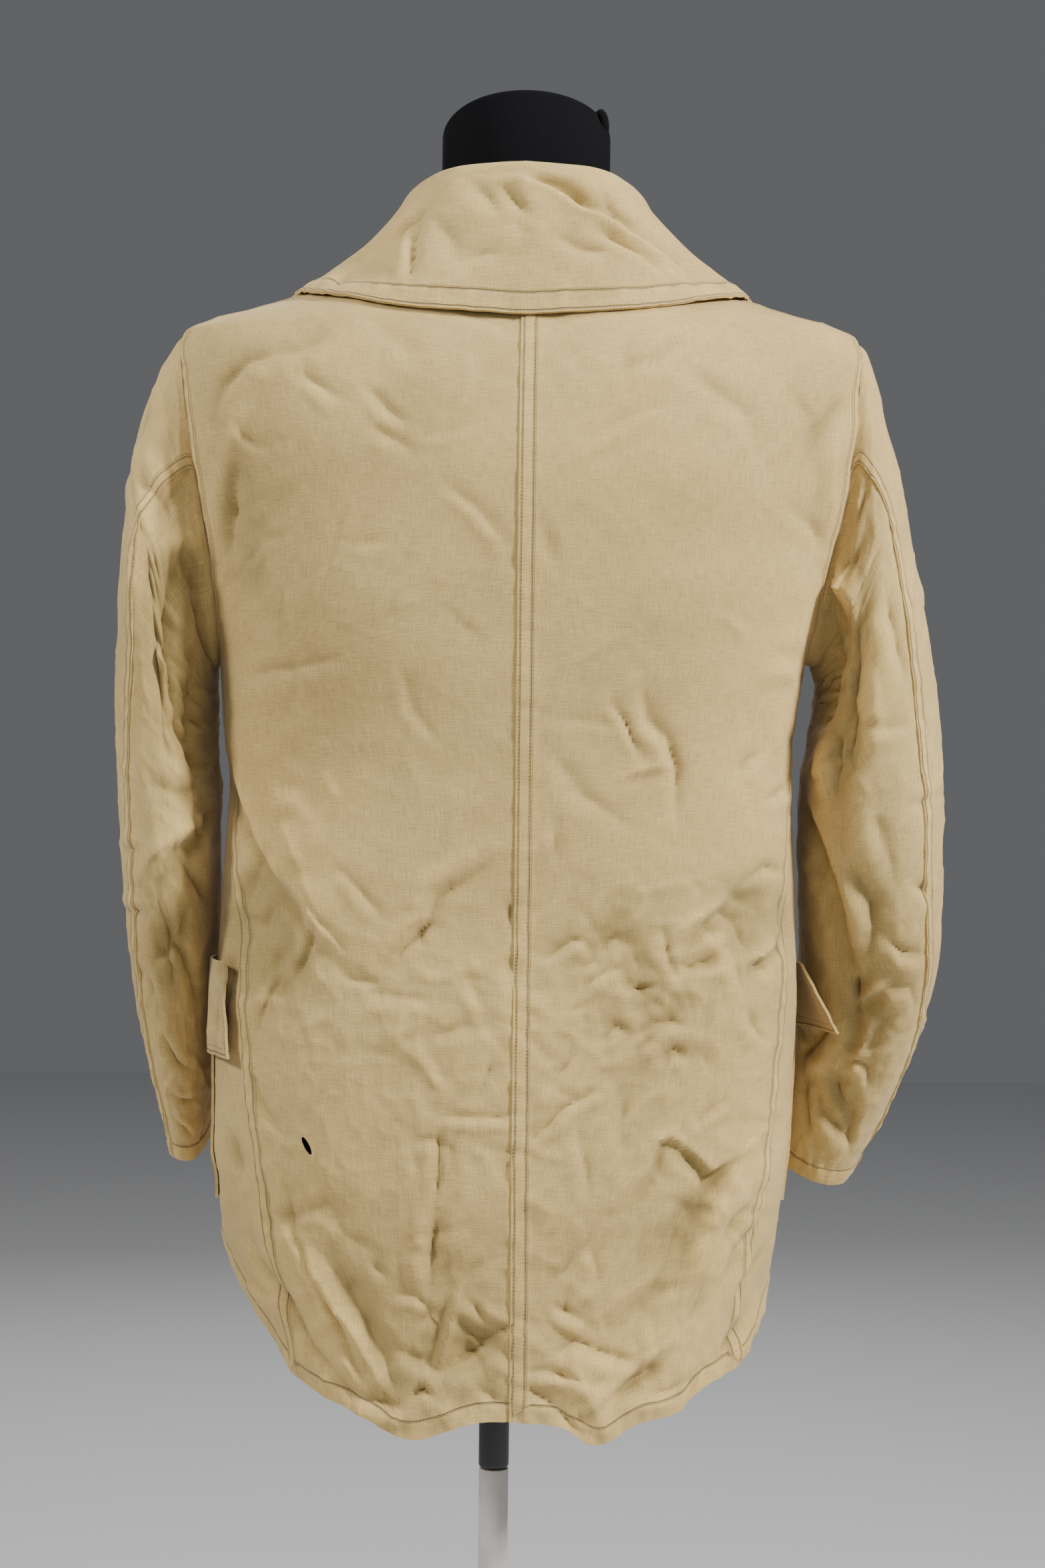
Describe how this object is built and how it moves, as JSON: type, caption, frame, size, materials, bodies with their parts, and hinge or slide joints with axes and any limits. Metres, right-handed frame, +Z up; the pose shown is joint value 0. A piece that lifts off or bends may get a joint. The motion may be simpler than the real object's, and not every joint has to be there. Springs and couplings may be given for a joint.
{
  "type": "mackinaw coat on limbless dress form",
  "caption": "Hip-length cotton mackinaw coat with a wide fold-over collar and patch pockets, worn by a limbless dress form on a pole stand with a round base.",
  "frame": {"origin": "on the floor, in the flat underside of the stand's base, below the coat's centre back seam and level with the pole's axis from front to back", "axes": "+Z up, -Y the way the coat's front faces, +X towards the wearer's left; the picture looks along -Y at the back"},
  "size_m": [0.6052, 0.4, 1.4878],
  "materials": {
    "coat_cloth": "matt cotton poplin, washed and creased",
    "button_plastic": "satin",
    "form_cloth": "matt black jersey",
    "stand_plastic": "satin black",
    "stand_enamel": "off-white enamel"
  },
  "bodies": {
    "root": {"back_left": "coat_cloth", "back_right": "coat_cloth", "front_left": "coat_cloth", "front_right": "coat_cloth", "sleeve_top_left": "coat_cloth", "sleeve_under_left": "coat_cloth", "sleeve_top_right": "coat_cloth", "sleeve_under_right": "coat_cloth", "collar": "coat_cloth", "lapel_left": "coat_cloth", "lapel_right": "coat_cloth", "pocket_left": "coat_cloth", "pocket_right": "coat_cloth", "flap_left": "coat_cloth", "flap_right": "coat_cloth", "button_1": "button_plastic", "button_2": "button_plastic", "button_3": "button_plastic", "button_4": "button_plastic", "button_5": "button_plastic", "button_6": "button_plastic", "form_torso": "form_cloth", "form_neck": "form_cloth", "stand_sleeve": "stand_plastic", "stand_pole": "stand_enamel", "stand_base": "stand_enamel"}
  },
  "joints": []
}
